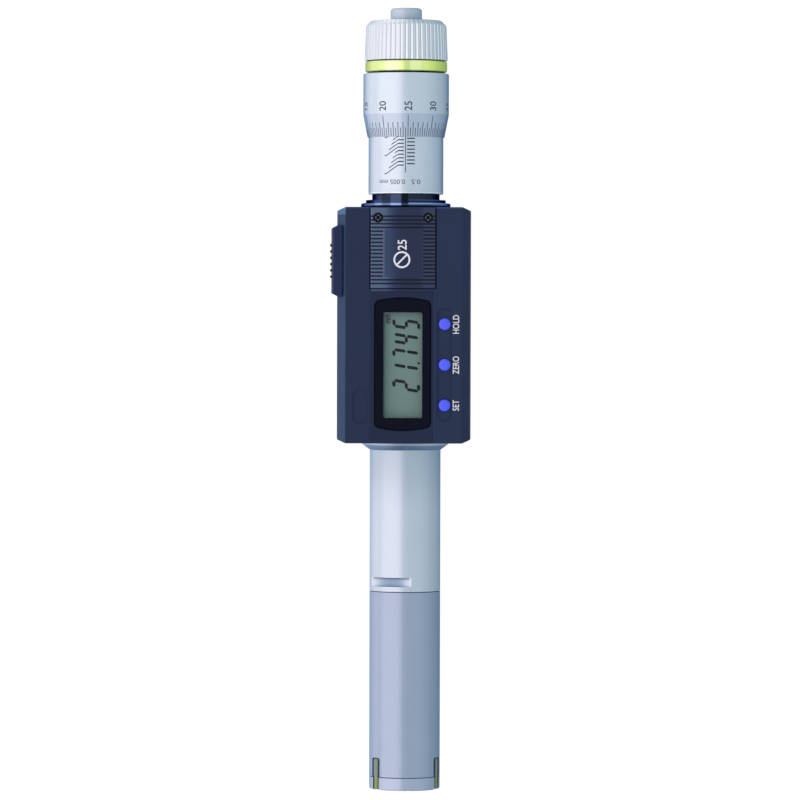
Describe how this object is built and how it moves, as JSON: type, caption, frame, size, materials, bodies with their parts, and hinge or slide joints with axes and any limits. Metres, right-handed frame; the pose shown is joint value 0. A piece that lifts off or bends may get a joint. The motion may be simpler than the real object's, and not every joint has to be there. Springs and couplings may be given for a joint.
{
  "type": "inside micrometer",
  "caption": "Digital inside micrometer with three measuring anvils in a slim head, a boxed display with keys, a scaled sleeve, a thimble and a fluted ratchet drum.",
  "frame": {"origin": "middle of the flat back of the housing, under the spindle line", "axes": "+Y along the spindle from the measuring head to the thimble, +Z out through the display, +X to the side of the keys"},
  "size_m": [0.0385, 0.2149, 0.0309],
  "materials": {
    "navy_plastic": "dark blue moulded plastic, fine matt grain",
    "plate_blue": "dark blue moulded plastic, a little glossier",
    "bezel_black": "gloss black printed window frame",
    "clear_glass": "clear window pane",
    "lcd_green": "grey green reflective display",
    "board_green": "solder masked board",
    "grey_plastic": "grey engineering plastic",
    "button_violet": "blue violet rubber-like key tops",
    "collar_black": "gloss black anodised collar",
    "satin_chrome": "satin chrome plated steel",
    "steel": "plain turned steel",
    "fluted_steel": "satin chrome on straight flutes",
    "hardened_steel": "dark hardened steel",
    "coated_contact": "gold coloured hard coating",
    "ring_green": "yellow green plastic ring"
  },
  "bodies": {
    "frame": {"housing_front": "navy_plastic", "back_cover": "navy_plastic", "back_screw_1": "steel", "back_screw_2": "steel", "back_screw_3": "steel", "back_screw_4": "steel", "grip_plate": "plate_blue", "grip_plate_screw_1": "steel", "grip_plate_screw_2": "steel", "display_bezel": "bezel_black", "display_glass": "clear_glass", "lcd_panel": "lcd_green", "circuit_board": "board_green", "frame_tube": "satin_chrome", "tube_nut": "steel", "measuring_head": "satin_chrome", "head_end_plate": "satin_chrome", "end_plate_screw_1": "steel", "end_plate_screw_2": "steel", "end_plate_screw_3": "steel", "return_spring": "steel", "anvil_ring_spring": "steel", "upper_collar": "collar_black", "sleeve": "satin_chrome", "inner_sleeve": "steel", "sleeve_nut": "steel", "encoder_housing": "grey_plastic", "encoder_stator": "board_green"},
    "feed": {"measuring_cone": "hardened_steel", "push_rod": "steel", "thrust_ball": "steel"},
    "turning": {"spindle": "steel", "thimble": "satin_chrome", "colour_ring": "ring_green", "ratchet_wheel": "steel", "end_knob": "steel"},
    "drum": {"ratchet_drum": "fluted_steel", "ratchet_spring": "steel"},
    "rotor": {"encoder_rotor": "grey_plastic"},
    "anvil_group_1": {"anvil_1": "hardened_steel", "contact_tip_1": "coated_contact"},
    "anvil_group_2": {"anvil_2": "hardened_steel", "contact_tip_2": "coated_contact"},
    "anvil_group_3": {"anvil_3": "hardened_steel", "contact_tip_3": "coated_contact"},
    "hold_key": {"hold_button": "button_violet"},
    "zero_key": {"zero_button": "button_violet"},
    "set_key": {"set_button": "button_violet"},
    "battery_drawer": {"battery_cover": "navy_plastic", "battery": "steel"}
  },
  "joints": [
    {"name": "cone_feed", "type": "slide", "parent": "frame", "child": "feed", "axis": [0, -1, 0], "range_m": [0, 0.005], "deforming": ["return_spring"]},
    {"name": "thimble_turn", "type": "hinge", "parent": "feed", "child": "turning", "pos_m": [0, 0.06, 0.0135], "axis": [0, -1, 0], "range_deg": [0, 3600]},
    {"name": "ratchet_turn", "type": "hinge", "parent": "turning", "child": "drum", "pos_m": [0, 0.078, 0.0135], "axis": [0, -1, 0], "continuous": true},
    {"name": "rotor_turn", "type": "hinge", "parent": "frame", "child": "rotor", "pos_m": [0, 0.0045, 0.0135], "axis": [0, -1, 0], "range_deg": [0, 3600]},
    {"name": "anvil_1_slide", "type": "slide", "parent": "frame", "child": "anvil_group_1", "axis": [-0.809, 0, 0.5878], "range_m": [0, 0.0025], "deforming": ["anvil_ring_spring"]},
    {"name": "anvil_2_slide", "type": "slide", "parent": "frame", "child": "anvil_group_2", "axis": [0.9135, 0, 0.4067], "range_m": [0, 0.0025]},
    {"name": "anvil_3_slide", "type": "slide", "parent": "frame", "child": "anvil_group_3", "axis": [-0.1045, 0, -0.9945], "range_m": [0, 0.0025]},
    {"name": "hold_press", "type": "slide", "parent": "frame", "child": "hold_key", "axis": [0, 0, -1], "range_m": [0, 0.0005], "stiffness_N_per_m": 400},
    {"name": "zero_press", "type": "slide", "parent": "frame", "child": "zero_key", "axis": [0, 0, -1], "range_m": [0, 0.0005], "stiffness_N_per_m": 400},
    {"name": "set_press", "type": "slide", "parent": "frame", "child": "set_key", "axis": [0, 0, -1], "range_m": [0, 0.0005], "stiffness_N_per_m": 400},
    {"name": "battery_pull", "type": "slide", "parent": "frame", "child": "battery_drawer", "axis": [-1, 0, 0], "range_m": [0, 0.009]}
  ],
  "couplings": [
    {"joint": "thimble_turn", "follows": "cone_feed", "rad_per_m": 12566},
    {"joint": "rotor_turn", "follows": "cone_feed", "rad_per_m": 12566},
    {"joint": "anvil_1_slide", "follows": "cone_feed", "ratio": 0.5},
    {"joint": "anvil_2_slide", "follows": "cone_feed", "ratio": 0.5},
    {"joint": "anvil_3_slide", "follows": "cone_feed", "ratio": 0.5}
  ]
}
